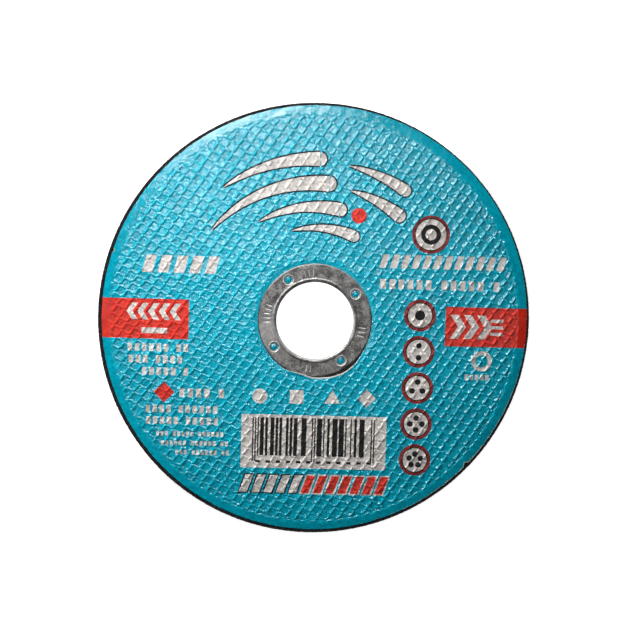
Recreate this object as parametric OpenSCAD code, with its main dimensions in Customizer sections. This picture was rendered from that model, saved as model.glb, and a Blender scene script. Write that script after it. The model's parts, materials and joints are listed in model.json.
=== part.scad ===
// Flat cut-off wheel for an angle grinder, lying on its back with the label up.
// Origin on the bore's axis at the wheel's back face, +Z out of the labelled face, millimetres.

/* [Wheel] */
// Outside diameter of the wheel
wheel_d = 125; // [100:1:150]
// Thickness of the wheel from its back to the label's plain band
wheel_t = 2; // [1.4:0.1:4]
// Diameter of the bore, inside the centre ring
bore_d = 22.23; // [16:0.01:30]
// Bevel on both edges of the abrasive's rim
rim_bevel = 0.25; // [0.05:0.05:0.5]

/* [Label] */
// Bare abrasive between the label's edge and the rim
label_inset = 0.9; // [0.4:0.1:3]
// How far the label was laid off the wheel's axis, towards +X
label_shift_x = 0.2; // [0:0.05:0.3]
// How far the label was laid off the wheel's axis, towards +Y
label_shift_y = 0.15; // [0:0.05:0.3]
// Width of the plain band between the pits and the label's edge
plain_band = 2.7; // [1:0.1:8]
// How far the plain band falls from the pits to the label's edge
band_drop = 0.08; // [0.02:0.01:0.1]
// Width of the plain slope around the centre ring
ring_margin = 1.2; // [0.6:0.1:3]

/* [Waffle relief] */
// Pitch of the square pits pressed into the label
pit_pitch = 2.6; // [2.2:0.1:5]
// Depth of a pit below its ridges
pit_depth = 0.12; // [0.04:0.01:0.2]
// Depth of the ridges below the plain band
ridge_sink = 0.02; // [0.01:0.01:0.05]
// Paper left under the deepest point of a pit
pit_floor_t = 0.06; // [0.04:0.01:0.2]
// Turn of the rows of pits about the wheel's axis
pit_turn = 55; // [0:1:90]

/* [Centre ring] */
// Thickness of the ring's sheet metal
ring_t = 0.3; // [0.2:0.05:0.5]
// Inside radius of the bend between the flange and the collar
bend_r = 0.2; // [0.05:0.05:0.4]
// Width of the flange from the bore to its outer edge
flange_w = 5.35; // [4:0.05:8]
// Depth of the flange below the label's plain band
flange_sink = 0.1; // [0.02:0.02:0.2]
// Gap between the collar's end and the wheel's back
collar_short = 0.1; // [0:0.05:0.3]
// Number of holes pierced in the flange
hole_n = 4; // [3:1:8]
// Diameter of a pierced hole at the flange's underside
hole_d = 2; // [1:0.1:2.6]
// Diameter of a pierced hole's sunk mouth
mouth_d = 2.9; // [2.7:0.1:3.2]
// Turn of the first pierced hole from +X
hole_turn = 32.8; // [0:0.1:90]

/* [Hidden] */
$fn = 128;
// Cutting shapes run this far past the faces that they open
over = 1;

wheel_r = wheel_d / 2;
bore_r = bore_d / 2;

// Levels, from the back face up
label_t = pit_floor_t + pit_depth + ridge_sink;
label_z = wheel_t - label_t;
ridge_z = wheel_t - ridge_sink;
flange_top = wheel_t - flange_sink;
flange_z = flange_top - ring_t;
bend_z = flange_z - bend_r;
cup_z = flange_z - label_t;

// Radii, from the bore out
collar_r = bore_r + ring_t;
lip_r = bend_r + ring_t;
flat_r = bore_r + lip_r;
flange_r = bore_r + flange_w;
hole_circle_r = (flat_r + flange_r) / 2;
cup_r = flange_r + label_t;
label_r = wheel_r - label_inset;
pits_in = flange_r + ring_margin;
pits_out = label_r - plain_band;

// Wheel body of bonded grain, with a seat for the cupped middle of the label and a hole for the collar.
module abrasive_disc() {
    color("#2c2b2d") difference() {
        rotate_extrude() polygon([
            [0, 0],
            [wheel_r - rim_bevel, 0],
            [wheel_r, rim_bevel],
            [wheel_r, label_z - rim_bevel],
            [wheel_r - rim_bevel, label_z],
            [0, label_z]
        ]);
        translate([0, 0, cup_z]) cylinder(r = cup_r, h = wheel_t);
        ring_room();
    }
}

// Paper pressed over the disc, cupped under the ring's flange and embossed with square pits.
module paper_label() {
    color("#12a0b6") difference() {
        union() {
            translate([label_shift_x, label_shift_y, label_z]) cylinder(r = label_r, h = label_t);
            translate([0, 0, cup_z]) cylinder(r = cup_r, h = wheel_t - cup_z);
        }
        ring_room();
        ring_slope_cut();
        band_slope_cut();
        pit_cutter();
    }
}

// Stamped steel ring: a flange in the label's cup, bent down into a collar that lines the bore.
module centre_ring() {
    color("#8d8f90") difference() {
        rotate_extrude() ring_section();
        for (i = [0 : hole_n - 1])
            rotate([0, 0, hole_turn + i * 360 / hole_n])
                translate([hole_circle_r, 0, 0]) pierced_hole();
    }
}

// Everything that the ring and the bore take up, which the disc and the label leave free.
module ring_room() {
    rotate_extrude() {
        translate([0, -over]) square([collar_r, over + bend_z]);
        difference() {
            translate([0, bend_z]) square([flat_r, bend_r]);
            translate([flat_r, bend_z]) circle(r = bend_r);
        }
        translate([0, flange_z]) square([flange_r, wheel_t]);
    }
}

// The ring's section: a flat flange, a round bend and a straight collar.
module ring_section() {
    translate([flat_r, flange_z]) square([flange_w - lip_r, ring_t]);
    translate([bore_r, collar_short]) square([ring_t, bend_z - collar_short]);
    intersection() {
        translate([bore_r, bend_z]) square(lip_r);
        translate([flat_r, bend_z]) difference() {
            circle(r = lip_r);
            circle(r = bend_r);
        }
    }
}

// A hole through the flange whose edge is pressed down, so that its mouth is wider than its foot.
module pierced_hole() {
    flare = (mouth_d - hole_d) / ring_t;
    translate([0, 0, flange_z - over]) cylinder(d = hole_d, h = ring_t + over);
    translate([0, 0, flange_z]) cylinder(d1 = hole_d, d2 = mouth_d + flare * over, h = ring_t + over);
}

// The label's slope from the ridges' plain margin down to the ring's face.
module ring_slope_cut() {
    grow = ring_margin / flange_sink * over;
    translate([0, 0, flange_top]) cylinder(r1 = flange_r, r2 = pits_in + grow, h = flange_sink + over);
}

// What is taken off above the plain band, which falls from the pits to the label's edge.
module band_slope_cut() {
    rotate_extrude() polygon([
        [pits_out, wheel_t],
        [wheel_r, wheel_t - band_drop * (wheel_r - pits_out) / plain_band],
        [wheel_r, wheel_t + over],
        [pits_out, wheel_t + over]
    ]);
}

// Square cells of the pit lattice, numbered from the axis: cell (i, j) reaches from i to i + 1 pitches.
function cell_near(i, j) = pit_pitch * norm([max(i, -i - 1, 0), max(j, -j - 1, 0)]);
function cell_far(i, j) = pit_pitch * norm([max(i + 1, -i), max(j + 1, -j)]);
function pressed(i, j) = cell_near(i, j) >= pits_in && cell_far(i, j) <= pits_out;

// Lattice corners in reach of the pits, and the number of corner (i, j) in each layer of points.
span = ceil(pits_out / pit_pitch);
row = 2 * span + 1;
function corner(i, j) = (i + span) * row + j + span;

// The four sides of a cell, anticlockwise: first corner, second corner, neighbour beyond the side.
sides = [
    [[0, 0], [1, 0], [0, -1]],
    [[1, 0], [1, 1], [1, 0]],
    [[1, 1], [0, 1], [0, 1]],
    [[0, 1], [0, 0], [-1, 0]]
];

// One solid that presses all the pits: four-sided points below, walls round the field and a roof above.
module pit_cutter() {
    layer = row * row;
    roof_z = wheel_t + over;
    outer_apex = 3 * layer;
    inner_apex = 3 * layer + 1;
    lattice = [for (i = [-span : span]) for (j = [-span : span]) pit_pitch * [i, j]];
    half = pit_pitch / 2 * [1, 1];
    cells = [for (i = [-span : span - 1]) for (j = [-span : span - 1]) if (pressed(i, j)) [i, j]];
    edges = [for (c = cells) for (s = sides) [
        corner(c.x + s[0].x, c.y + s[0].y),
        corner(c.x + s[1].x, c.y + s[1].y),
        corner(c.x, c.y) + 2 * layer,
        c + s[2]
    ]];
    rim = [for (e = edges) if (!pressed(e[3].x, e[3].y)) e];
    rotate([0, 0, pit_turn]) polyhedron(
        points = concat(
            [for (p = lattice) [p.x, p.y, ridge_z]],
            [for (p = lattice) [p.x, p.y, roof_z]],
            [for (p = lattice) [p.x + half.x, p.y + half.y, ridge_z - pit_depth]],
            [[0, 0, roof_z + pits_out], [0, 0, roof_z]]
        ),
        faces = concat(
            [for (e = edges) [e[0], e[1], e[2]]],
            [for (e = rim) [e[0], e[0] + layer, e[1] + layer, e[1]]],
            [for (e = rim) [
                e[1] + layer,
                e[0] + layer,
                cell_far(e[3].x, e[3].y) > pits_out ? outer_apex : inner_apex
            ]]
        )
    );
}

abrasive_disc();
paper_label();
centre_ring();
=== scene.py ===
"""Looks of a flat cut-off wheel: a gritty disc, an embossed printed label and a stamped steel ring.

Lengths are in millimetres until a mesh is built, and MM turns them into metres.
"""
import json
import math

import bpy
import numpy as np
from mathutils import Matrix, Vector
from mathutils.geometry import delaunay_2d_cdt


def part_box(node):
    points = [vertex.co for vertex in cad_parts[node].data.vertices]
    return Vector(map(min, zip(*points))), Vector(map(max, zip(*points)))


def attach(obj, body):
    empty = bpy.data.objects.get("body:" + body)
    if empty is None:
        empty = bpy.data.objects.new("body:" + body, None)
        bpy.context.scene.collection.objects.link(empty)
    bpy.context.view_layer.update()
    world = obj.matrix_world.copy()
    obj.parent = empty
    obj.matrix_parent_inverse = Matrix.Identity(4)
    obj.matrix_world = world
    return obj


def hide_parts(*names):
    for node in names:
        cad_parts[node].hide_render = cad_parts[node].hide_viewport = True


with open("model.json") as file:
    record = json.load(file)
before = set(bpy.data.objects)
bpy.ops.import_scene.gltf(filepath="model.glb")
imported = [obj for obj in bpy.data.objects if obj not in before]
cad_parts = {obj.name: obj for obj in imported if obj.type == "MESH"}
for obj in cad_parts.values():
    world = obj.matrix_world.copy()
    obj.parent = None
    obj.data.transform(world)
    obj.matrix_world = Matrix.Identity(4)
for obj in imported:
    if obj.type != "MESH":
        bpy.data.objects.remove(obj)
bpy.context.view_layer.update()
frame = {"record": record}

MM = 0.001
TAU = 2 * math.pi
SEED = 11


# Sizes taken from the frame

def box_mm(node):
    low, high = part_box(node)
    return np.array(low) / MM, np.array(high) / MM


def mount_dims(name):
    return next(m["dims"] for m in frame["record"]["mounts"] if m["name"] == name)


_, disc_high = box_mm("abrasive_disc")
label_low, label_high = box_mm("paper_label")
ring_low, ring_high = box_mm("centre_ring")

WHEEL_R = disc_high[0]
DISC_TOP = disc_high[2]
LABEL_TOP = label_high[2]
LABEL_R = (label_high[0] - label_low[0]) / 2
LABEL_MID = (label_low + label_high)[:2] / 2
CUP_Z = label_low[2]
FLANGE_R = ring_high[0]
FLANGE_TOP = ring_high[2]
COLLAR_FOOT = ring_low[2]
BORE_R = mount_dims("bore")["r_mm"]

# Sizes that the frame doesn't give, as in the part's source

RIM_BEVEL = 0.25
RING_T = 0.3
LIP_R = 0.5
HOLE_TURN = math.radians(32.8)
HOLE_N = 4
HOLE_R = 1.0
MOUTH_R = 1.45

# Levels and radii worked out from them

LABEL_T = LABEL_TOP - DISC_TOP
BED_SINK = 0.05
BED_Z = DISC_TOP - BED_SINK
FLAT_R = BORE_R + LIP_R
COLLAR_R = BORE_R + RING_T
FLANGE_Z = FLANGE_TOP - RING_T
BEND_Z = FLANGE_TOP - LIP_R
CUP_R = FLANGE_R + LABEL_T
HOLE_CIRCLE_R = (FLAT_R + FLANGE_R) / 2

# Relief of the label: flat pads between long ridges and lower cross ridges, both broken into dashes

PIT_PITCH = 2.6
PIT_TURN = math.radians(55)
PIT_DEPTH = 0.165
MEAN_DEPTH, DEPTH_SWING = 0.86, 0.14
PIT_LEAN = 0.055
RIDGE_SINK = 0.01
RIDGE_FOOT, RIDGE_TAIL = 0.45, 0.55
FOOT_SPREAD, SPREAD_HALF = 0.42, 0.9
LONG_DIP, LONG_HALF = 0.9, 0.5
CROSS_RIDGE, CROSS_FOOT = 0.66, 0.4
CROSS_DIP, CROSS_HALF = 0.95, 0.65
LOWEST_DASH = 0.58
RIPPLE, FINE_RIPPLE, BAND_RIPPLE = 0.005, 0.004, 0.007

# Plain parts of the label: a band that falls to the edge, most at its low side, and a margin round the ring

PLAIN_BAND = 2.7
BAND_RISE, BAND_DROP = 0.035, 0.045
BAND_STEP, SOFTER_STEP = 0.12, 0.75
LOW_SIDE = math.radians(320)
LOW_SIDE_RISE, LOW_SIDE_DROP = 0.045, 0.072
RING_MARGIN = 1.2
FIELD_STEP = 0.42
PITS_IN = FLANGE_R + RING_MARGIN
PITS_OUT = LABEL_R - PLAIN_BAND
PAD_Z = LABEL_TOP - RIDGE_SINK - PIT_DEPTH

# The label's inner edge, which laps over the ring in one place and gapes in another

LAP_DEG, LAP_HALF, LAP = 254, 15, 0.55
LAP_CLEAR, LAP_EASE = 0.012, 0.09
GAPE_DEG, GAPE_HALF, GAPE = 302, 36, 0.82
LIP_GAP = 0.06
LIP_SINK = 0.122
LIP_CURL = 0.022
LIP_ROUND = 0.24
NECK_GAP = 0.03
NECK_R = FLANGE_R + NECK_GAP

# Unevenness round the axis: waves have a height, a count and a phase

STEP_WAVES = (1, 97, 0), (1, 141, 1)
EDGE_WAVES = (0.02, 61, 0), (0.015, 137, 1), (0.015, 293, 0)
FLAKE_WAVES = (1, 83, 0), (1, 211, 2), (1, 379, 4)
LIP_WAVES = ((0.02, 23, 0),)
LIP_HIGHLIGHT_WAVES = (0.25, 61, 0), (0.2, 97, 0)

# Places along the label's cut edge: a middle and half a width in degrees, and a size

EDGE_TRIM = 0.05
WIDER_PART = ((45, 60, 0.24),)
CHIPS = (315.9, 0.95, 0.75), (160.6, 0.7, 0.3), (287, 0.5, 0.25)
CHIP_RIMS = (315.9, 1.6, 1.0), (160.6, 1.1, 0.8)

# How finely round shapes are cut

OUTER_N = 960
INNER_N = 480
DISC_N = 1440
OUTLINE_STEP = 0.33


def smooth(a, b, x):
    t = np.clip((x - a) / (b - a), 0, 1)
    return t * t * (3 - 2 * t)


def bump(x, middle, half):
    """One smooth hump of height 1 at middle, gone at half to either side."""
    return 1 - smooth(0, half, np.abs(x - middle))


def waves_round(angle, waves):
    return sum(height * np.sin(count * angle + phase) for height, count, phase in waves)


def humps_round(angle, places):
    deg = np.degrees(angle) % 360
    return sum(size * bump(deg, middle, half) for middle, half, size in places)


def turned(points, angle):
    c, s = math.cos(angle), math.sin(angle)
    return np.asarray(points) @ np.array([[c, s], [-s, c]])


def around(n):
    return np.arange(n) * TAU / n


def loop_at(radius, n, z):
    """Points of a closed loop round the axis; radius and z may change with the angle."""
    a = around(n)
    flat = np.ones(n)
    return np.stack([radius * np.cos(a), radius * np.sin(a), z * flat], 1)


# A mesh under construction

class Shell:
    """Points and faces of a closed mesh, with a material for each face and normals for smooth sheets."""

    def __init__(self):
        self.points = np.zeros((0, 3))
        self.faces = []
        self.paints = []
        self.normals = {}
        self.sheet_faces = range(0)
        self.tones = {}

    def add(self, points):
        first = len(self.points)
        self.points = np.vstack([self.points, points])
        return np.arange(first, len(self.points))

    def fill(self, faces, paints):
        self.faces.extend(map(tuple, np.asarray(faces).tolist()))
        self.paints.extend(np.broadcast_to(paints, len(faces)).tolist())

    def band(self, a, b, paint=0):
        """Quads between two loops of one length.

        Loops that follow a section down from outside to inside make faces that look out.
        """
        a2, b2 = np.roll(a, -1), np.roll(b, -1)
        self.fill(np.stack([a, a2, b2, b], 1), paint)

    def bands(self, loops, paint=0):
        for a, b in zip(loops, loops[1:]):
            self.band(a, b, paint)

    def widen(self, coarse, fine, paint=0):
        """Triangles from a loop to one with twice as many points, facing as band does."""
        here, there = coarse, np.roll(coarse, -1)
        first, mid, last = fine[0::2], fine[1::2], np.roll(fine[0::2], -1)
        self.fill(np.stack([here, mid, first], 1), paint)
        self.fill(np.stack([here, there, mid], 1), paint)
        self.fill(np.stack([there, last, mid], 1), paint)

    def sheet(self, plan, height, triangles, paints):
        """A curved sheet z = height(x, y) over a triangulated plan, with its true normals."""
        x, y = plan.T
        near = 0.015
        slope_x = (height(x + near, y) - height(x - near, y)) / (2 * near)
        slope_y = (height(x, y + near) - height(x, y - near)) / (2 * near)
        n = np.stack([-slope_x, -slope_y, np.ones(len(x))], 1)
        n /= np.linalg.norm(n, axis=1)[:, None]
        made = self.add(np.column_stack([plan, height(x, y)]))
        first = len(self.faces)
        self.fill(made[triangles], paints)
        self.sheet_faces = range(first, len(self.faces))
        self.normals.update(zip(made.tolist(), n.tolist()))
        return made

    def build(self, name, materials, sharp_deg=None):
        """The piece, smooth up to the sharp angle, or with flat faces where none is given."""
        mesh = bpy.data.meshes.new(name)
        mesh.from_pydata((self.points * MM).tolist(), [], self.faces)
        for m in materials:
            mesh.materials.append(m)
        mesh.polygons.foreach_set("material_index", self.paints)
        mesh.polygons.foreach_set("use_smooth", [sharp_deg is not None] * len(self.faces))
        if sharp_deg is not None:
            mesh.set_sharp_from_angle(angle=math.radians(sharp_deg))
        if self.normals:
            zero = (0.0, 0.0, 0.0)
            corners = [
                self.normals.get(v, zero) if f in self.sheet_faces else zero
                for f, face in enumerate(self.faces)
                for v in face
            ]
            mesh.normals_split_custom_set(corners)
        for tone, values in self.tones.items():
            mesh.attributes.new(tone, "FLOAT", "POINT").data.foreach_set("value", values)
        mesh.validate()
        piece = bpy.data.objects.new(name, mesh)
        bpy.context.collection.objects.link(piece)
        return piece


def inside(outline, points):
    """Whether each point lies inside a closed outline."""
    low, high = outline.min(0), outline.max(0)
    result = np.all((points > low) & (points < high), axis=1)
    near = np.flatnonzero(result)
    x, y = points[near].T
    odd = np.zeros(len(near), bool)
    for (x0, y0), (x1, y1) in zip(outline, np.roll(outline, -1, axis=0)):
        if y0 == y1:
            continue
        crosses = (y0 > y) != (y1 > y)
        odd ^= crosses & (x < x0 + (y - y0) * (x1 - x0) / (y1 - y0))
    result[near] = odd
    return result


def triangulate(points, edges):
    """Delaunay triangles that keep the given edges: plan points, triangles, and where each point went."""
    whole_hull, tolerance = 0, 1e-6
    corners = [Vector(p) for p in points.tolist()]
    plan, _, faces, sources, _, _ = delaunay_2d_cdt(corners, edges, [], whole_hull, tolerance)
    place = np.zeros(len(points), int)
    for i, source in enumerate(sources):
        place[source] = i
    plan = np.array([p[:] for p in plan])
    faces = np.array(faces)
    a, b, c = plan[faces[:, 0]], plan[faces[:, 1]], plan[faces[:, 2]]
    area = (b[:, 0] - a[:, 0]) * (c[:, 1] - a[:, 1]) - (b[:, 1] - a[:, 1]) * (c[:, 0] - a[:, 0])
    faces[area < 0] = faces[area < 0][:, ::-1]
    return plan, faces, place


def closed_edges(numbers):
    return list(zip(numbers, numbers[1:] + numbers[:1]))


def loop_edges(loops):
    """Edges of closed loops whose points are numbered one loop after the other."""
    edges, count = [], 0
    for loop in loops:
        edges += closed_edges(list(range(count, count + len(loop))))
        count += len(loop)
    return edges


# Print: simple shapes in five inks, laid out in millimetres from the wheel's axis

TEAL, PALE, RED, DARK, PAPER, DEEP_RED = range(6)
PRINT_TURN = math.radians(-1.8)
shapes = []


def sampled(corners):
    """A closed outline with points close enough together to follow the relief."""
    corners = np.asarray(corners, float)
    points = []
    for a, b in zip(corners, np.roll(corners, -1, axis=0)):
        n = max(1, math.ceil(np.linalg.norm(b - a) / OUTLINE_STEP))
        points.append(a + (b - a) * (np.arange(n) / n)[:, None])
    return np.vstack(points)


def draw(ink, corners):
    shapes.append((turned(sampled(corners), PRINT_TURN), ink))


def regular(x, y, r, n, turn=0.0):
    a = around(n) + turn
    return np.stack([x + r * np.cos(a), y + r * np.sin(a)], 1)


def disc(x, y, r):
    fewest = 20
    return regular(x, y, r, max(fewest, math.ceil(TAU * r / OUTLINE_STEP)))


def slab(x, y, w, h, lean=0.0):
    """A box about its middle, its top pushed sideways by lean."""
    right, up, push = w / 2, h / 2, lean / 2
    return np.array([
        [x - right - push, y - up],
        [x + right - push, y - up],
        [x + right + push, y + up],
        [x - right + push, y + up],
    ])


def chevron(x, y, w, h, thick):
    """An arrow head whose point is at x + w; a negative w points it left."""
    back = math.copysign(thick, w)
    half = h / 2
    corners = np.array([
        [x, y - half],
        [x + back, y - half],
        [x + w, y],
        [x + back, y + half],
        [x, y + half],
        [x + w - back, y],
    ])
    return corners if w > 0 else corners[::-1]


def swoosh(radius, tail_deg, head_deg, width, grow=0.0):
    """A stroke along an arc round the axis, fine at its tail and round at its head."""
    taper, tail_half, cap_n = 0.7, 0.12, 18
    n = math.ceil(math.radians(abs(tail_deg - head_deg)) * radius / OUTLINE_STEP)
    t = np.linspace(0, 1, n)
    a = np.radians(tail_deg + (head_deg - tail_deg) * t)
    half = grow + width / 2 * t ** taper
    half[0] = max(grow, tail_half)
    outer = np.stack([(radius + half) * np.cos(a), (radius + half) * np.sin(a)], 1)
    inner = np.stack([(radius - half) * np.cos(a), (radius - half) * np.sin(a)], 1)
    way = math.copysign(1, tail_deg - head_deg)
    cap = math.radians(head_deg) + np.linspace(math.pi, 0, cap_n)[1:-1] * way - math.pi
    head = radius * np.array([math.cos(a[-1]), math.sin(a[-1])])
    round_head = head + half[-1] * np.stack([np.cos(cap), np.sin(cap)], 1)
    return np.vstack([inner, round_head, outer[::-1]])


def block_row(rng, left, right, y, h):
    """A row of small equal blocks in groups."""
    fewest, most = 3, 6
    wide, tall, gap = 0.5 * h, 0.85 * h, 0.3 * h
    x = left
    while x + wide <= right:
        for _ in range(rng.integers(fewest, most + 1)):
            if x + wide > right:
                return
            draw(PALE, slab(x + wide / 2, y, wide, tall))
            x += wide + gap
        x += 2 * gap


def draw_panels():
    """A red panel at each side, with arrow heads and short bars on it."""
    past_edge = WHEEL_R + 1
    mid_y, tall = -0.7, 11.5
    for side, inner_x in ((-1, 36.4), (1, 38.0)):
        mid_x = side * (inner_x + past_edge) / 2
        draw(RED, slab(mid_x, mid_y, past_edge - inner_x, tall))
    left_x, left_y, left_pitch = -38.6, 1.4, 3.1
    for i in range(5):
        draw(PALE, chevron(left_x - left_pitch * i, left_y, w=-3.3, h=4.8, thick=1.7))
    draw(PALE, slab(x=-46.2, y=-4.1, w=7.4, h=1.6))
    right_x, right_pitch = 39.4, 3.9
    for i in range(3):
        draw(PALE, chevron(right_x + right_pitch * i, mid_y, w=4.6, h=7.0, thick=2.3))
    bar_x, bar_y, bar_pitch = 53.0, -2.6, 1.9
    for i in range(3):
        draw(PALE, slab(bar_x, bar_y + bar_pitch * i, w=3.8, h=0.95))


def draw_strokes():
    """Pale outlined strokes: the arc's radius, the angles of tail and head, and the width of each."""
    outline = 0.42
    strokes = (
        (46.5, 126, 90, 4.0),
        (39.6, 140, 86, 4.4),
        (32.8, 121, 79, 3.8),
        (45.6, 79, 57, 3.4),
        (38.8, 76, 53, 3.8),
        (26.8, 106, 67, 3.2),
    )
    for radius, tail, head, width in strokes:
        draw(DARK, swoosh(radius, tail, head, width, outline))
        draw(PALE, swoosh(radius, tail, head, width))
    spot_at, spot_deg = 32.8, 69
    spot = turned([spot_at, 0.0], math.radians(spot_deg))
    draw(RED, disc(*spot, r=2.2))


def draw_ringed_discs():
    """Five discs down the right side, each with a number of dots, and a larger one above."""
    x, first_y, pitch = 30.5, 2.3, 10.62
    for count in range(1, 6):
        y = first_y - pitch * (count - 1)
        ringed_disc(x, y, r=4.65, ring_w=1.15)
        spread, dot_r = (0.0, 1.5) if count == 1 else (1.75, 0.85)
        for dot in regular(x, y, spread, count, math.pi / 2):
            draw(DARK, disc(*dot, dot_r))
    large = 32.8, 25.8
    ringed_disc(*large, r=5.5, ring_w=1.05)
    draw(DARK, disc(*large, r=2.9))
    draw(PALE, disc(*large, r=1.6))


def ringed_disc(x, y, r, ring_w):
    line = 0.3
    draw(DEEP_RED, disc(x, y, r))
    draw(DARK, disc(x, y, r - ring_w + line))
    draw(PALE, disc(x, y, r - ring_w))


def draw_bars(rng):
    """A pale panel with upright bars of uneven width, some of them longer, and a row of dashes below."""
    draw(PALE, slab(x=0.75, y=-35.6, w=42.3, h=15.7))
    module, left, top, tall, longer = 0.376, -17.2, -28.6, 11.2, 1.7
    starts = (0, 46, 92)
    for start in starts:
        for step in (0, 2):
            x = left + module * (start + step + 0.5)
            draw(DARK, slab(x, top - (tall + longer) / 2, module, tall + longer))
    clear = 4
    for start, end in zip(starts, starts[1:]):
        step = start + clear
        while step < end - clear:
            wide = rng.choice([1, 1, 2, 3, 4])
            draw(DARK, slab(left + module * (step + wide / 2), top - tall / 2, module * wide, tall))
            step += wide + rng.choice([1, 1, 2, 3])
    dash_x, dash_y, dash_pitch = -15.4, -41.6, 2.95
    for i in range(12):
        draw(DARK, slab(dash_x + dash_pitch * i, dash_y, w=1.3, h=0.75))


def draw_stripes():
    """A row of leaning stripes, pale on dark at its left and red on pale at its right."""
    first_x, y, tall, lean, pitch, wide = -18.6, -48.1, 5.2, 1.9, 3.6, 2.3
    wider, taller = 0.8, 0.7
    for i in range(12):
        x = first_x + pitch * i
        under, over = (DARK, PALE) if i < 5 else (PALE, RED)
        draw(under, slab(x, y, wide + wider, tall + taller, lean))
        draw(over, slab(x, y, wide, tall, lean))


def draw_marks():
    """A row of plain marks, a diamond, a ring, and two rows of leaning blocks."""
    row_y, lower = -22.4, 0.4
    ring = 49.0, -10.6
    draw(PALE, disc(x=-15.3, y=row_y, r=2.2))
    draw(PALE, slab(x=-4.6, y=row_y, w=4.0, h=4.0))
    draw(PALE, regular(x=5.8, y=row_y - lower, r=2.7, n=3, turn=math.pi / 2))
    draw(PALE, regular(x=15.8, y=row_y, r=2.7, n=4))
    draw(RED, regular(x=-43.0, y=-21.9, r=3.0, n=4))
    draw(PALE, disc(*ring, r=3.0))
    draw(TEAL, disc(*ring, r=1.8))
    left_x, left_pitch = -48.0, 4.5
    for i in range(5):
        draw(PALE, slab(left_x + left_pitch * i, y=15.2, w=3.0, h=5.0, lean=1.3))
    right_x, right_pitch = 19.6, 3.1
    for i in range(12):
        draw(PALE, slab(right_x + right_pitch * i, y=17.8, w=1.9, h=3.9, lean=1.0))


def draw_rows(rng):
    """Rows of small blocks: the left and right ends, the height on the label and the size of each."""
    rows = (
        (18.6, 54.6, 11.2, 3.3),
        (-53.8, -36.3, -9.0, 2.6),
        (-53.4, -36.2, -12.4, 2.6),
        (-49.5, -36.0, -15.9, 2.6),
        (-38.6, -23.6, -22.0, 3.0),
        (-48.2, -24.0, -26.8, 2.5),
        (-48.0, -24.0, -30.2, 2.5),
        (-45.0, -24.0, -34.0, 1.6),
        (-43.6, -24.0, -36.7, 1.6),
        (-39.4, -23.8, -39.4, 1.6),
        (44.2, 51.6, -15.4, 1.9),
    )
    for left, right, y, h in rows:
        block_row(rng, left, right, y, h)


def draw_print():
    rng = np.random.default_rng(SEED)
    draw_panels()
    draw_strokes()
    draw_ringed_discs()
    draw_bars(rng)
    draw_stripes()
    draw_marks()
    draw_rows(rng)


# The label's surface

class Ripples:
    """Gentle seeded waves, as paper has when it is pressed over grain."""

    def __init__(self, seed, wavelength):
        count, shortest, longest = 9, 0.6, 1.8
        rng = np.random.default_rng(seed)
        ways = rng.uniform(0, TAU, count)
        waves = TAU / (wavelength * rng.uniform(shortest, longest, count))
        self.waves = np.stack([waves * np.cos(ways), waves * np.sin(ways)])
        self.phases = rng.uniform(0, TAU, count)

    def __call__(self, x, y):
        total = 0
        for kx, ky, phase in zip(*self.waves, self.phases):
            total = total + np.sin(kx * x + ky * y + phase)
        return total / math.sqrt(len(self.phases))


ripples = Ripples(SEED, wavelength=7.0)
fine_ripples = Ripples(SEED + 4, wavelength=2.0)
band_ripples = Ripples(SEED + 5, wavelength=4.5)
height_ripples = Ripples(SEED + 6, wavelength=5.0)
PIT_SPAN = math.ceil(LABEL_R / PIT_PITCH) + 1
PIT_CELLS = (2 * PIT_SPAN, 2 * PIT_SPAN)
pit_rng = np.random.default_rng(SEED + 1)
pit_leans_u = PIT_LEAN * pit_rng.uniform(-1, 1, PIT_CELLS)
pit_leans_v = PIT_LEAN * pit_rng.uniform(-1, 1, PIT_CELLS)
long_dashes = pit_rng.uniform(LOWEST_DASH, 1, PIT_CELLS)
cross_dashes = CROSS_RIDGE * pit_rng.uniform(LOWEST_DASH, 1, PIT_CELLS)


def ridge_profile(d, foot, tail):
    """Height of a ridge beside its crest line, from 1 down to 0 at its foot ahead and its tail behind."""
    return 1 - smooth(0, np.where(d > 0, foot, tail), np.abs(d))


def field_relief(x, y):
    """Height above the pads' level: ridges that dip where they cross, and pads that lean a little."""
    lowest_swing, highest_swing = -2, 1
    c, s = math.cos(PIT_TURN), math.sin(PIT_TURN)
    u, v = (x * c + y * s) / PIT_PITCH, (y * c - x * s) / PIT_PITCH
    line_u, line_v = np.round(u).astype(int), np.round(v).astype(int)
    from_u, from_v = PIT_PITCH * (u - line_u), PIT_PITCH * (v - line_v)
    cell_u, cell_v = np.floor(u).astype(int), np.floor(v).astype(int)
    cell = cell_u + PIT_SPAN, cell_v + PIT_SPAN
    crest_u = ridge_profile(from_u, CROSS_FOOT, CROSS_FOOT)
    foot = RIDGE_FOOT + FOOT_SPREAD * bump(from_u, 0, SPREAD_HALF)
    crest_v = ridge_profile(from_v, foot, RIDGE_TAIL)
    dip_u = 1 - CROSS_DIP * bump(from_v, 0, CROSS_HALF)
    dip_v = 1 - LONG_DIP * bump(from_u, 0, LONG_HALF)
    ridge_u = cross_dashes[line_u + PIT_SPAN, cell[1]] * crest_u * dip_u
    ridge_v = long_dashes[cell[0], line_v + PIT_SPAN] * crest_v * dip_v
    raised = 1 - (1 - ridge_u) * (1 - ridge_v)
    lean = pit_leans_u[cell] * (u - cell_u - 0.5) + pit_leans_v[cell] * (v - cell_v - 0.5)
    swing = np.clip(height_ripples(x, y), lowest_swing, highest_swing)
    depth = PIT_DEPTH * (MEAN_DEPTH + DEPTH_SWING * swing)
    return depth * raised + lean * (1 - crest_u) * (1 - crest_v)


def past_field(r):
    """How far across the plain band a radius is, from 0 at the pits to 1 and a little more at the edge."""
    furthest = 1.1
    return np.clip((r - PITS_OUT) / PLAIN_BAND, 0, furthest)


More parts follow.
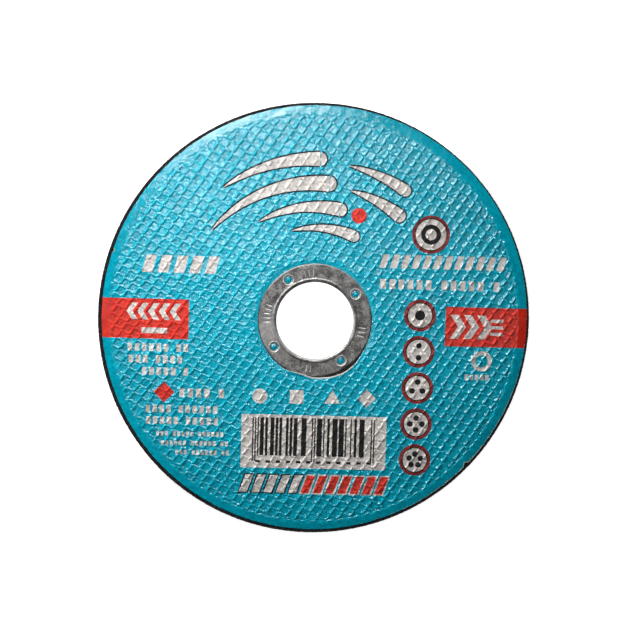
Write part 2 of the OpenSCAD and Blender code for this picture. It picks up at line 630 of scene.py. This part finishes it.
def band_level(r, angle):
    """Height of the plain band above the pads: a step that is sharp in dashes, then a fall to the edge."""
    off_side, full_side = -0.35, 0.75
    sharp_below, soft_above = -0.7, 0.5
    low_side = smooth(off_side, full_side, np.cos(angle - LOW_SIDE))
    rise = BAND_RISE + LOW_SIDE_RISE * low_side
    drop = BAND_DROP + LOW_SIDE_DROP * low_side
    softer = smooth(sharp_below, soft_above, waves_round(angle, STEP_WAVES))
    step = BAND_STEP + SOFTER_STEP * softer
    return rise * smooth(PITS_OUT - FIELD_STEP / 2, PITS_OUT + step, r) - drop * past_field(r)


def label_height(x, y):
    """The sheet: the field of pads and ridges, the plain band at the edge and the lip round the ring."""
    band_ease = 0.3
    r, angle = np.hypot(x, y), np.arctan2(y, x)
    field = smooth(PITS_IN - FIELD_STEP, PITS_IN, r) * (1 - smooth(PITS_OUT - FIELD_STEP, PITS_OUT, r))
    on_band = smooth(0, band_ease, past_field(r))
    wave = RIPPLE * ripples(x, y) + FINE_RIPPLE * fine_ripples(x, y)
    wave = wave + BAND_RIPPLE * on_band * band_ripples(x, y)
    open_sheet = PAD_Z + field_relief(x, y) * field + band_level(r, angle) + wave
    out = r - lip_radius(angle)
    at_ring = 1 - smooth(0, RING_MARGIN, out)
    curl = LIP_CURL * (1 - smooth(0, LIP_ROUND, out))
    return np.minimum(open_sheet + (lip_level(angle) - open_sheet) * at_ring - curl, LABEL_TOP)


def edge_radius(angle):
    """Radius of the label's cut edge about its own middle, with its chips."""
    even = LABEL_R - EDGE_TRIM + humps_round(angle, WIDER_PART)
    return even + waves_round(angle, EDGE_WAVES) - humps_round(angle, CHIPS)


def edge_loop(n, inset):
    a = around(n)
    return LABEL_MID + (edge_radius(a) - inset)[:, None] * np.stack([np.cos(a), np.sin(a)], 1)


def lap_at(angle):
    return humps_round(angle, [(LAP_DEG, LAP_HALF, 1)])


def gape_at(angle):
    return humps_round(angle, [(GAPE_DEG, GAPE_HALF, 1)])


def lip_radius(angle):
    """Radius of the label's inner edge."""
    even = FLANGE_R + LIP_GAP + waves_round(angle, LIP_WAVES)
    return even - (LIP_GAP + LAP) * lap_at(angle) + GAPE * gape_at(angle)


def lip_level(angle):
    """Height of the label beside the ring: below its face, but over it at the lap."""
    over_ring = LIP_CURL + LAP_CLEAR
    lapped = smooth(0.0, LAP_EASE, lap_at(angle))
    return FLANGE_TOP - LIP_SINK * (1 - gape_at(angle)) * (1 - lapped) + over_ring * lapped


def lip_loop(n, outset):
    a = around(n)
    return (lip_radius(a) + outset)[:, None] * np.stack([np.cos(a), np.sin(a)], 1)


# The label's mesh

def lattice_points():
    """Points along the ridges, their feet and the pads between them."""
    inner_gap, outer_gap = 0.1, 0.15

    def lines(pad_rows):
        pad = np.linspace(RIDGE_FOOT, PIT_PITCH - RIDGE_TAIL, pad_rows)
        rows = np.array([0.0, RIDGE_FOOT / 2, *pad, PIT_PITCH - RIDGE_TAIL / 2])
        return (np.arange(-PIT_SPAN, PIT_SPAN)[:, None] * PIT_PITCH + rows).ravel()

    u, v = np.meshgrid(lines(pad_rows=3), lines(pad_rows=4))
    points = turned(np.stack([u.ravel(), v.ravel()], 1), PIT_TURN)
    r = np.hypot(*points.T)
    return points[(r > PITS_IN + inner_gap) & (r < PITS_OUT - FIELD_STEP - outer_gap)]


def plain_rings():
    """Rings of points along the edge, the step up to the plain band and the lip."""
    edge_insets = 0.12, 0.3, 0.75, 1.4
    step_parts = 1, 0.55, 0.2, 0
    lip_outsets = 0.08, 0.16, 0.24, 0.4, 0.65, 0.95, 1.25
    steps = [BAND_STEP + SOFTER_STEP * part for part in step_parts]
    steps += [0, -FIELD_STEP / 2, -FIELD_STEP]
    rings = [edge_loop(OUTER_N, inset) for inset in edge_insets]
    rings += [loop_at(PITS_OUT + out, OUTER_N, 0)[:, :2] for out in steps]
    rings += [lip_loop(INNER_N, outset) for outset in lip_outsets]
    return np.vstack(rings)


def clear_of(points, others, gap):
    """The points that share no small square with the others."""
    row = 1_000_003

    def squares(p):
        i = np.floor(p / gap).astype(np.int64)
        return i[:, 0] * row + i[:, 1]

    return points[~np.isin(squares(points), squares(others))]


def on_label(points):
    """Which points lie well inside the label's edge and its chips."""
    edge_gap, chip_gap = 0.3, 0.05
    rel = points - LABEL_MID
    far = np.hypot(*rel.T)
    return (far < LABEL_R - edge_gap) & (far < edge_radius(np.arctan2(rel[:, 1], rel[:, 0])) - chip_gap)


def print_outlines(first):
    """The print's outlines where they lie on the label: points, and edges that number them from first."""
    points, edges, count = [], [], first
    for outline, _ in shapes:
        kept = on_label(outline)
        numbers = np.where(kept, count + np.cumsum(kept) - 1, -1).tolist()
        edges += [(a, b) for a, b in closed_edges(numbers) if a >= 0 and b >= 0]
        points.append(outline[kept])
        count += int(kept.sum())
    return np.vstack(points), edges


def label_plan(edge, lip):
    """Plan of the sheet: points, triangles, and where the points of its two edges went."""
    print_gap, near = 0.1, 2.0
    count = len(edge) + len(lip)
    outlines, outline_edges = print_outlines(count)
    plain = clear_of(np.vstack([plain_rings(), lattice_points()]), outlines, print_gap)
    points = np.vstack([edge, lip, outlines, plain])
    plan, triangles, place = triangulate(points, loop_edges([edge, lip]) + outline_edges)
    middles = plan[triangles].mean(1)
    far = np.hypot(*middles.T)
    near_edge, near_lip = far > LABEL_R - near, far < FLANGE_R + near
    keep = np.ones(len(triangles), bool)
    keep[near_edge] = inside(edge, middles[near_edge])
    keep[near_lip] = ~inside(lip, middles[near_lip])
    return plan, triangles[keep], place[:len(edge)], place[len(edge):count]


def torn_edge(points):
    """Where the print has flaked off the label's edge and the paper shows."""
    least, flaky_part = 0.12, ((318, 42, 1),)
    thinnest, widest, flake_start, chip_rim = 0.08, 0.2, 0.5, 0.22
    rel = points - LABEL_MID
    angle = np.arctan2(rel[:, 1], rel[:, 0])
    depth = edge_radius(angle) - np.hypot(*rel.T)
    flaky = least + (1 - least) * humps_round(angle, flaky_part)
    flakes = np.clip(waves_round(angle, FLAKE_WAVES) - flake_start, 0, 1)
    return depth < flaky * (thinnest + widest * flakes) + chip_rim * humps_round(angle, CHIP_RIMS)


def lip_highlight(points):
    """Where a painted highlight lies along the cut edge beside the lap and the gap, on the lip's lower side.
    """
    highlight_part, widest, mean, fill = ((280, 52, 1),), 0.42, 0.75, 1.6
    angle = np.arctan2(points[:, 1], points[:, 0])
    out = np.hypot(*points.T) - lip_radius(angle)
    highlight_share = humps_round(angle, highlight_part) * (mean + waves_round(angle, LIP_HIGHLIGHT_WAVES))
    return out < widest * np.clip(fill * highlight_share, 0, 1)


def label_paints(middles):
    """The ink of each triangle, by its middle."""
    paints = np.full(len(middles), TEAL)
    for outline, ink in shapes:
        paints[inside(outline, middles)] = ink
    paints[torn_edge(middles)] = PAPER
    # A painted highlight in pale ink along the lip's lower side, where its rounded edge faces the light
    paints[lip_highlight(middles)] = PALE
    return paints


def close_label(shell, edge, edge_top, lip_top):
    """From the lip down into the cup under the ring, back out below and up to the edge."""
    skin, collar_gap, swell_reach, swell_rows = 0.004, 0.02, 1.1, 12
    angles = around(INNER_N)
    lip_r = lip_radius(angles)
    gap_floor, above_ring, cup_floor = BED_Z + skin, FLANGE_TOP + skin, FLANGE_Z - skin
    ledge = above_ring + (gap_floor - above_ring) * smooth(FLANGE_R, NECK_R, lip_r)
    cup_in = FLAT_R + collar_gap

    def loop(radius, z):
        return shell.add(loop_at(radius, INNER_N, z))

    neck = [lip_top, loop(lip_r, ledge), loop(NECK_R, ledge), loop(NECK_R, cup_floor)]
    cup = []
    for r in HOLE_CIRCLE_R + np.linspace(swell_reach, -swell_reach, swell_rows):
        swell = hole_swell(r * np.cos(angles), r * np.sin(angles))
        cup.append(loop(r, cup_floor + swell))
    cup.append(loop(cup_in, cup_floor))
    below = [loop(cup_in, CUP_Z), loop(CUP_R, CUP_Z), loop(CUP_R, BED_Z)]
    shell.bands(neck[:2], PAPER)
    # The ledge in the gap beside the ring and the neck below it are painted dark: a painted shadow
    shell.bands(neck[1:], DARK)
    shell.bands(neck[-1:] + cup, TEAL)
    shell.bands(cup[-1:] + below, PAPER)
    edge_foot = shell.add(np.column_stack([edge, np.full(OUTER_N, BED_Z)]))
    shell.widen(below[-1], edge_foot, PAPER)
    shell.band(edge_foot, edge_top, PAPER)


def make_label(materials):
    draw_print()
    edge, lip = edge_loop(OUTER_N, 0), lip_loop(INNER_N, 0)
    plan, triangles, edge_places, lip_places = label_plan(edge, lip)
    shell = Shell()
    made = shell.sheet(plan, label_height, triangles, label_paints(plan[triangles].mean(1)))
    close_label(shell, edge, made[edge_places], made[lip_places])
    return shell.build("printed_label", materials, sharp_deg=40)


# The stamped ring

RIM_DROP, RIM_WIDTH = 0.09, 0.26
BEAD, BEAD_HALF = 0.05, 0.4
MOUTH_SINK, MOUTH_INSET = 0.26, 0.05
BURR, BURR_OUT, BURR_HALF = 0.02, 0.1, 0.25
TICK_DEPTH, TICK_FLAT, TICK_HALF = 0.045, 0.05, 0.26
TICK_IN, TICK_OUT, TICK_PITCH = 0.9, 0.7, 5.0
RING_RIPPLE = 0.003
ring_ripples = Ripples(SEED + 2, wavelength=2.2)


def hole_middles():
    return regular(0, 0, HOLE_CIRCLE_R, HOLE_N, HOLE_TURN)


def from_hole(x, y):
    """Distance to the middle of the nearest hole in the ring."""
    return np.min([np.hypot(x - hole_x, y - hole_y) for hole_x, hole_y in hole_middles()], axis=0)


def hole_swell(x, y):
    """How far the paper swells up into the holes of the ring."""
    highest, flat_r, foot_r = 0.16, 0.25, 0.95
    return highest * (1 - smooth(flat_r, foot_r, from_hole(x, y)))


def ring_marks():
    """Angle of each short radial tick stamped in the flange, in four groups of a middle and a count."""
    groups = ((97, 3), (171, 5), (262, 2), (346, 3))
    return [
        math.radians(middle + TICK_PITCH * (i - (count - 1) / 2))
        for middle, count in groups
        for i in range(count)
    ]


def from_mark(x, y):
    """Distance to the middle line of the nearest tick."""
    tick_in, tick_out = HOLE_CIRCLE_R - TICK_IN, HOLE_CIRCLE_R + TICK_OUT
    nearest = np.full(np.shape(x), WHEEL_R)
    for angle in ring_marks():
        along = x * math.cos(angle) + y * math.sin(angle)
        across = y * math.cos(angle) - x * math.sin(angle)
        past = np.maximum(np.maximum(tick_in - along, along - tick_out), 0)
        nearest = np.minimum(nearest, np.hypot(past, across))
    return nearest


def ring_height(x, y):
    """The flange's face: a round rim, a bead by the bore, pressed hole mouths with a burr, and ticks."""
    r = np.hypot(x, y)
    far = from_hole(x, y)
    z = FLANGE_TOP - RIM_DROP * smooth(FLANGE_R - RIM_WIDTH, FLANGE_R, r)
    z = z + BEAD * bump(r, FLAT_R + BEAD_HALF, BEAD_HALF)
    z = z - MOUTH_SINK * (1 - smooth(HOLE_R - MOUTH_INSET, MOUTH_R - MOUTH_INSET, far))
    z = z + BURR * bump(far, MOUTH_R + BURR_OUT, BURR_HALF)
    z = z - TICK_DEPTH * (1 - smooth(TICK_FLAT, TICK_HALF, from_mark(x, y)))
    return z - RING_RIPPLE * (1 + ring_ripples(x, y))


def rubbed_and_lit_steel(x, y):
    """How bright the steel is, from 0 to 1: rubbed round the hole mouths and ticks, with painted highlights
    on the flange's left, the top of its rim, the bead's upper left and the bore's lower right, and a little
    painted shade at the upper left.
    """
    dull, lit_side_tone, shadow = 0.03, 0.19, 0.02
    mouth_tone, tick_tone, rim_highlight_tone, bead_highlight_tone = 0.85, 0.5, 0.7, 0.3
    tick_core, tick_reach, rim_start, rim_full = 0.08, 0.3, 0.3, 0.15
    bore_full, bore_end, bead_mid, bead_half = 0.12, 0.02, 0.6, 0.5
    r, deg = np.hypot(x, y), np.degrees(np.arctan2(y, x))

    def beside(middle, full, gone):
        """1 within full degrees of an angle, falling to 0 at gone."""
        return 1 - smooth(full, gone, np.abs((deg - middle + 180) % 360 - 180))

    # Painted highlight on the flange's left side and painted shade at its upper left, over a dull base tone
    side_light_and_shade = dull + lit_side_tone * beside(195, full=0, gone=48) - shadow * beside(143, full=0, gone=24)
    mouths = mouth_tone * (1 - smooth(MOUTH_R - MOUTH_INSET, MOUTH_R + BURR_HALF, from_hole(x, y)))
    ticks = tick_tone * (1 - smooth(tick_core, tick_reach, from_mark(x, y)))
    # Painted highlight along the top of the rim
    rim = rim_highlight_tone * smooth(FLANGE_R - rim_start, FLANGE_R - rim_full, r)
    rim = rim * beside(85, full=50, gone=85)
    # Painted highlight on the lower right of the bend into the bore
    bore = (1 - smooth(FLAT_R - bore_full, FLAT_R + bore_end, r)) * beside(295, full=70, gone=115)
    # Painted highlight on the upper left of the bead
    bead = bead_highlight_tone * bump(r, FLAT_R + bead_mid, bead_half) * beside(140, full=60, gone=105)
    return np.max([side_light_and_shade, mouths, ticks, rim, bead, bore], axis=0)


def ring_plan(rows, n, hole_n):
    """Plan of the flange: rim, inner edge, the holes and rows of points between."""
    hole_gap = 0.06
    rim, inner = loop_at(FLANGE_R, n, 0)[:, :2], loop_at(FLAT_R, n, 0)[:, :2]
    holes = [regular(x, y, HOLE_R, hole_n) for x, y in hole_middles()]
    loops = [rim, inner] + holes
    points = np.vstack([loop_at(r, n, 0)[:, :2] for r in rows])
    points = points[from_hole(*points.T) > HOLE_R + hole_gap]
    plan, triangles, place = triangulate(np.vstack(loops + [points]), loop_edges(loops))
    middles = plan[triangles].mean(1)
    keep = ~np.any([inside(loop, middles) for loop in [inner] + holes], axis=0)
    ends = np.cumsum([len(loop) for loop in loops])
    return plan, triangles[keep], np.split(place[:ends[-1]], ends[:-1])


def collar_section():
    """Radius and height of points down the bend and the bore, round the collar's foot and up its outside."""
    foot_round = 0.06
    turns = np.linspace(0, math.pi / 2, 10)

    def bend(radius, angles):
        return [(FLAT_R - radius * math.sin(t), BEND_Z + radius * math.cos(t)) for t in angles]

    collar = [
        (BORE_R, COLLAR_FOOT + foot_round),
        (BORE_R + foot_round, COLLAR_FOOT),
        (COLLAR_R - foot_round, COLLAR_FOOT),
        (COLLAR_R, COLLAR_FOOT + foot_round),
    ]
    return bend(LIP_R, turns[1:]) + collar + bend(LIP_R - RING_T, turns[:0:-2])


def make_ring(materials):
    n, hole_n, row_pitch = 720, 64, 0.13
    inner_gap, outer_gap, rim_gap = 0.12, 0.1, 0.05
    rows = np.arange(FLAT_R + inner_gap, FLANGE_R - outer_gap, row_pitch)
    rows = np.append(rows, FLANGE_R - rim_gap)
    shell = Shell()
    plan, triangles, places = ring_plan(rows, n, hole_n)
    made = shell.sheet(plan, ring_height, triangles, 0)
    rim_top, inner_top, *hole_tops = [made[p] for p in places]
    plan, triangles, places = ring_plan([HOLE_CIRCLE_R], n, hole_n)
    below = shell.add(np.column_stack([plan, np.full(len(plan), FLANGE_Z)]))
    shell.fill(below[triangles][:, ::-1], 0)
    rim_foot, inner_foot, *hole_feet = [below[p] for p in places]
    for top, foot in zip(hole_tops, hole_feet):
        shell.band(top, foot)
    collar = [shell.add(loop_at(r, n, z)) for r, z in collar_section()]
    shell.bands([inner_top] + collar + [inner_foot])
    shell.band(rim_foot, rim_top)
    # Rubbed steel round the mouths and ticks, and painted highlights and shade by the side the light comes
    # from
    shell.tones["rubbed_and_lit"] = rubbed_and_lit_steel(*shell.points[:, :2].T)
    return shell.build("stamped_ring", materials, sharp_deg=35)


# The abrasive disc: how far its grains stand back, and up or down, at the rim's side and on the face

SIDE_GRAIN, SIDE_SWING = 0.11, 0.05
FACE_GRAIN, FACE_SWING = 0.05, 0.03


def make_disc(materials):
    bed_inset, bend_room, foot_room, skew = 3.2, 0.2, 0.05, 1.5
    face_insets = 2.2, 1.6, 1.2, 0.9, 0.6, RIM_BEVEL
    side_levels = np.linspace(BED_Z - RIM_BEVEL, RIM_BEVEL, 7)
    rng = np.random.default_rng(SEED + 3)
    shell = Shell()

    def gritty(radius, z, grain, swing):
        """A loop of grains, more of them close to the radius than far back from it."""
        r = radius - grain * rng.uniform(0, 1, DISC_N) ** skew
        return shell.add(loop_at(r, DISC_N, z - swing * rng.uniform(-1, 1, DISC_N)))

    face = [shell.add(loop_at(WHEEL_R - bed_inset, DISC_N, BED_Z))]
    face += [gritty(WHEEL_R - inset, BED_Z - FACE_SWING, FACE_GRAIN, FACE_SWING) for inset in face_insets]
    side = [gritty(WHEEL_R, z, SIDE_GRAIN, SIDE_SWING) for z in side_levels]
    back_edge = gritty(WHEEL_R - RIM_BEVEL, 2 * FACE_SWING, FACE_GRAIN, FACE_SWING)
    section = (
        (CUP_R, BED_Z),
        (CUP_R, CUP_Z),
        (COLLAR_R + bend_room, CUP_Z),
        (COLLAR_R, BEND_Z),
        (COLLAR_R, foot_room),
        (COLLAR_R + foot_room, 0.0),
    )
    seat = [shell.add(loop_at(r, DISC_N, z)) for r, z in section]
    shell.bands([back_edge] + side[::-1] + face[::-1] + seat)
    add_back(shell, rng, back_edge, seat[-1])
    return shell.build("gritty_disc", materials)


def add_back(shell, rng, rim_loop, hole_loop):
    """The disc's back: a bed of grains between its rim and its bore."""
    pitch, jitter, highest = 0.62, 0.448, 0.09
    rim_gap, hole_gap, near = 0.3, 0.35, 1.0
    lines = np.arange(-WHEEL_R, WHEEL_R, pitch)
    x, y = np.meshgrid(lines, lines)
    points = np.stack([x.ravel(), y.ravel()], 1) + pitch * rng.uniform(-jitter, jitter, (x.size, 2))
    r = np.hypot(*points.T)
    points = points[(r < WHEEL_R - RIM_BEVEL - rim_gap) & (r > COLLAR_R + hole_gap)]
    rim, hole = shell.points[rim_loop][:, :2], shell.points[hole_loop][:, :2]
    plan, triangles, place = triangulate(np.vstack([rim, hole, points]), loop_edges([rim, hole]))
    middles = plan[triangles].mean(1)
    far = np.hypot(*middles.T)
    near_rim, near_hole = far > WHEEL_R - near, far < COLLAR_R + near
    keep = far > COLLAR_R
    keep[near_rim] = inside(rim, middles[near_rim])
    keep[near_hole] &= ~inside(hole, middles[near_hole])
    edge_places = place[:2 * DISC_N]
    numbers = np.zeros(len(plan), int)
    numbers[edge_places] = np.concatenate([rim_loop, hole_loop])
    grains = np.ones(len(plan), bool)
    grains[edge_places] = False
    heights = highest * rng.uniform(0, 1, int(grains.sum())) ** 2
    numbers[grains] = shell.add(np.column_stack([plan[grains], heights]))
    shell.fill(numbers[triangles[keep]][:, ::-1], 0)


# Materials

WHITE = (1.0, 1.0, 1.0, 1.0)


class Tree:
    """A material's nodes, added one call at a time."""

    def __init__(self, name):
        self.material = bpy.data.materials.new(name)
        self.material.use_nodes = True
        self.nodes = self.material.node_tree.nodes
        self.links = self.material.node_tree.links
        self.shader = self.nodes["Principled BSDF"]
        self.place = self.node("ShaderNodeTexCoord").outputs["Object"]

    def node(self, kind, inputs=None, **settings):
        made = self.nodes.new(kind)
        for key, value in settings.items():
            setattr(made, key, value)
        for key, value in (inputs or {}).items():
            self.put(made.inputs[key], value)
        return made

    def put(self, socket, value):
        if isinstance(value, bpy.types.NodeSocket):
            self.links.new(value, socket)
        else:
            socket.default_value = value

    def set(self, **values):
        for key, value in values.items():
            self.put(self.shader.inputs[key.replace("_", " ")], value)

    def noise(self, size, detail=3.0, rough=0.55):
        """Noise whose features are about size millimetres across."""
        inputs = {"Vector": self.place, "Scale": 1 / (size * MM), "Detail": detail, "Roughness": rough}
        return self.node("ShaderNodeTexNoise", inputs).outputs["Fac"]

    def remap(self, value, low, high, to_low, to_high):
        inputs = {"Value": value, "From Min": low, "From Max": high, "To Min": to_low, "To Max": to_high}
        return self.node("ShaderNodeMapRange", inputs).outputs["Result"]

    def mottle(self, size, low, high, detail=3.0, rough=0.55):
        """Noise that runs from 0 at its low value to 1 at its high one."""
        return self.remap(self.noise(size, detail, rough), low, high, 0.0, 1.0)

    def radius(self):
        """Distance from the wheel's axis, in metres."""
        flat = {0: self.place, 1: (1.0, 1.0, 0.0)}
        level = self.node("ShaderNodeVectorMath", flat, operation="MULTIPLY").outputs["Vector"]
        return self.node("ShaderNodeVectorMath", {0: level}, operation="LENGTH").outputs["Value"]

    def times(self, a, b):
        return self.node("ShaderNodeMath", {0: a, 1: b}, operation="MULTIPLY").outputs["Value"]

    def mix(self, factor, a, b, blend="MIX"):
        made = self.node("ShaderNodeMix", data_type="RGBA", blend_type=blend)
        for key, value in ((0, factor), (6, a), (7, b)):
            self.put(made.inputs[key], value)
        return made.outputs[2]

    def bump(self, height, depth, strength, over=None):
        """A normal that follows a height of up to depth millimetres, over another normal if one is given."""
        inputs = {"Height": height, "Distance": depth * MM, "Strength": strength}
        if over is not None:
            inputs["Normal"] = over
        return self.node("ShaderNodeBump", inputs).outputs["Normal"]


def rgb(r, g, b):
    """A colour given as it looks on screen, from 0 to 255, as the shader's linear colour."""
    def linear(c):
        c /= 255
        return c / 12.92 if c <= 0.04045 else ((c + 0.055) / 1.055) ** 2.4
    return linear(r), linear(g), linear(b), 1.0


def ink_material(name, dark, light, rough, shine=0.5):
    """Print on paper that was pressed over grain: mottled, grainy, and smoother on the plain band."""
    smoothest, roughest = rough
    worn_tone = (0.56, 0.58, 0.6, 1.0)
    field_grain, band_grain, band_share = 0.6, 0.1, 0.55
    band_start, band_fade = PITS_OUT + BAND_STEP, 0.4
    t = Tree(name)
    blotch = t.mottle(5.0, low=0.35, high=0.65)
    grain = t.mottle(0.7, low=0.34, high=0.66, detail=4.0, rough=0.65)
    colour = t.mix(blotch, dark, light)
    t.set(Base_Color=t.mix(1.0, colour, t.mix(grain, worn_tone, WHITE), "MULTIPLY"))
    on_band = t.remap(t.radius(), band_start * MM, (band_start + band_fade) * MM, 0.0, 1.0)
    roughness = t.remap(grain, 0.0, 1.0, roughest, smoothest)
    share = t.remap(on_band, 0.0, 1.0, 1.0, band_share)
    t.set(Roughness=t.times(roughness, share), Specular_IOR_Level=shine)
    grainy = t.remap(on_band, 0.0, 1.0, field_grain, band_grain)
    coarse = t.bump(t.noise(0.7), depth=0.16, strength=grainy)
    t.set(Normal=t.bump(t.noise(0.22, detail=2.0), depth=0.03, strength=0.5, over=coarse))
    return t.material


def steel_material():
    """Dull grey steel with blotches, specks and scuffs, brighter where it is rubbed and where highlights are
    painted on.
    """
    grime_tone = (0.32, 0.315, 0.315, 1.0)
    t = Tree("ring_steel")
    blotch = t.mottle(2.4, low=0.38, high=0.62, detail=4.0)
    speck = t.mottle(0.5, low=0.4, high=0.62, detail=5.0, rough=0.75)
    grey = t.mix(blotch, rgb(82, 81, 81), rgb(140, 138, 136))
    dull = t.mix(1.0, grey, t.mix(speck, grime_tone, WHITE), "MULTIPLY")
    # The mesh's tone: rubbed steel and painted highlights, mixed to a light steel colour
    rubbed_and_lit = t.node("ShaderNodeAttribute", attribute_name="rubbed_and_lit").outputs["Fac"]
    t.set(Base_Color=t.mix(rubbed_and_lit, dull, rgb(224, 222, 219)), Metallic=1.0)
    t.set(Roughness=t.remap(speck, 0.0, 1.0, 0.52, 0.32))
    scuffs = t.bump(t.noise(0.8, detail=5.0, rough=0.7), depth=0.06, strength=0.6)
    t.set(Normal=t.bump(t.noise(0.22, detail=2.0), depth=0.012, strength=0.5, over=scuffs))
    return t.material


def abrasive_material():
    """Dark grains of uneven shade, a few of them lighter."""
    grain_size = 0.5
    t = Tree("bonded_grain")
    cells = t.node("ShaderNodeTexVoronoi", {"Vector": t.place, "Scale": 1 / (grain_size * MM)})
    shade = t.node("ShaderNodeSeparateColor", {"Color": cells.outputs["Color"]})
    grain = t.mix(shade.outputs["Red"], rgb(9, 8, 10), rgb(32, 29, 32))
    rare = t.remap(shade.outputs["Green"], 0.93, 0.95, 0.0, 0.6)
    t.set(Base_Color=t.mix(rare, grain, rgb(70, 63, 60)))
    t.set(Roughness=t.remap(shade.outputs["Blue"], 0.0, 1.0, 0.5, 0.85), Specular_IOR_Level=0.15)
    t.set(Normal=t.bump(cells.outputs["Distance"], depth=0.12, strength=0.5))
    return t.material


def paper_material():
    t = Tree("bare_paper")
    fibres = t.mottle(0.5, low=0.3, high=0.7, detail=4.0)
    t.set(Base_Color=t.mix(fibres, rgb(150, 143, 122), rgb(206, 199, 178)), Roughness=0.85)
    return t.material


def floor_material():
    t = Tree("white_floor")
    t.set(Base_Color=(0.85, 0.85, 0.85, 1.0), Roughness=0.9)
    t.set(Emission_Color=WHITE, Emission_Strength=0.96)
    return t.material


# Stage, light and camera, in metres

def make_floor():
    half, below = 3.0, 0.00002
    corners = [(-half, -half, 0), (half, -half, 0), (half, half, 0), (-half, half, 0)]
    mesh = bpy.data.meshes.new("floor")
    mesh.from_pydata(corners, [], [(0, 1, 2, 3)])
    mesh.materials.append(floor_material())
    floor = bpy.data.objects.new("floor", mesh)
    bpy.context.collection.objects.link(floor)
    floor.location.z = -below


def soft_light(name, place, size, power):
    """A round lamp that shines on the wheel's middle and isn't seen itself."""
    data = bpy.data.lights.new(name, "AREA")
    data.shape = "DISK"
    data.size = size
    data.energy = power
    light = bpy.data.objects.new(name, data)
    bpy.context.collection.objects.link(light)
    light.location = place
    light.rotation_euler = (-light.location).to_track_quat("-Z", "Y").to_euler()
    light.visible_camera = False
    return light


def make_world():
    """Pale all round, darker straight above."""
    world = bpy.data.worlds.new("studio")
    bpy.context.scene.world = world
    world.use_nodes = True
    nodes, links = world.node_tree.nodes, world.node_tree.links
    place = nodes.new("ShaderNodeTexCoord").outputs["Generated"]
    split = nodes.new("ShaderNodeSeparateXYZ")
    links.new(place, split.inputs["Vector"])
    fade = nodes.new("ShaderNodeMapRange")
    fade.interpolation_type = "SMOOTHSTEP"
    links.new(split.outputs["Z"], fade.inputs["Value"])
    for key, value in (("From Min", 0.5), ("From Max", 0.88), ("To Min", 0.1), ("To Max", 0.01)):
        fade.inputs[key].default_value = value
    background = nodes["Background"]
    background.inputs["Color"].default_value = WHITE
    links.new(fade.outputs["Result"], background.inputs["Strength"])


def make_light():
    """A high lamp for the sheen, a low pair from the upper left for the relief, and a weak one above."""
    make_world()
    sheen = soft_light("sheen", place=(-0.2, 0.63, 3.0), size=0.8, power=46.0)
    sheen.visible_diffuse = False
    low = (-0.275, 0.29, 0.062)
    side = soft_light("side", low, size=0.07, power=6.3)
    side.visible_glossy = False
    glint = soft_light("glint", low, size=0.12, power=0.95)
    glint.visible_diffuse = False
    top = soft_light("top", place=(-0.02, 0.032, 0.09), size=0.05, power=0.07)
    top.visible_glossy = False


def make_camera():
    """Face-on from above, leaning a little towards the label's top left."""
    lens, sensor, distance = 85.0, 36.0, 0.437
    lean, lean_way = math.radians(6.0), math.radians(116)
    frame_px, seen_x, seen_y = 640, 314.9, 320.6
    data = bpy.data.cameras.new("camera")
    data.lens = lens
    data.sensor_width = sensor
    camera = bpy.data.objects.new("camera", data)
    bpy.context.collection.objects.link(camera)
    sideways, up_by = distance * math.sin(lean), distance * math.cos(lean)
    centre = Vector((0, 0, LABEL_TOP * MM))
    away = Vector((sideways * math.cos(lean_way), sideways * math.sin(lean_way), up_by))
    camera.location = centre + away
    back = away.normalized()
    right = Vector((0, 1, 0)).cross(back).normalized()
    turn = camera.rotation_euler.to_matrix()
    turn.col[0], turn.col[1], turn.col[2] = right, back.cross(right), back
    camera.rotation_euler = turn.to_euler()
    data.shift_x = (frame_px / 2 - seen_x) / frame_px
    data.shift_y = (seen_y - frame_px / 2) / frame_px
    bpy.context.scene.camera = camera


def main():
    bpy.context.scene.view_settings.view_transform = "Standard"
    inks = [
        ink_material("teal_print", rgb(1, 157, 180), rgb(2, 165, 188), rough=(0.11, 0.19)),
        ink_material("pale_print", rgb(196, 189, 183), rgb(214, 207, 201), rough=(0.42, 0.6)),
        ink_material("red_print", rgb(204, 28, 6), rgb(214, 38, 10), rough=(0.4, 0.55), shine=0.4),
        ink_material("dark_print", rgb(6, 5, 6), rgb(14, 12, 14), rough=(0.45, 0.6), shine=0.25),
        paper_material(),
        ink_material("deep_red_print", rgb(120, 24, 22), rgb(138, 32, 29), rough=(0.4, 0.55), shine=0.3),
    ]
    pieces = (
        (make_label(inks), "paper_label", "label"),
        (make_ring([steel_material()]), "centre_ring", "ring"),
        (make_disc([abrasive_material()]), "abrasive_disc", "abrasive"),
    )
    for piece, node, slot in pieces:
        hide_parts(node)
        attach(piece, "root")
    make_floor()
    make_light()
    make_camera()


main()
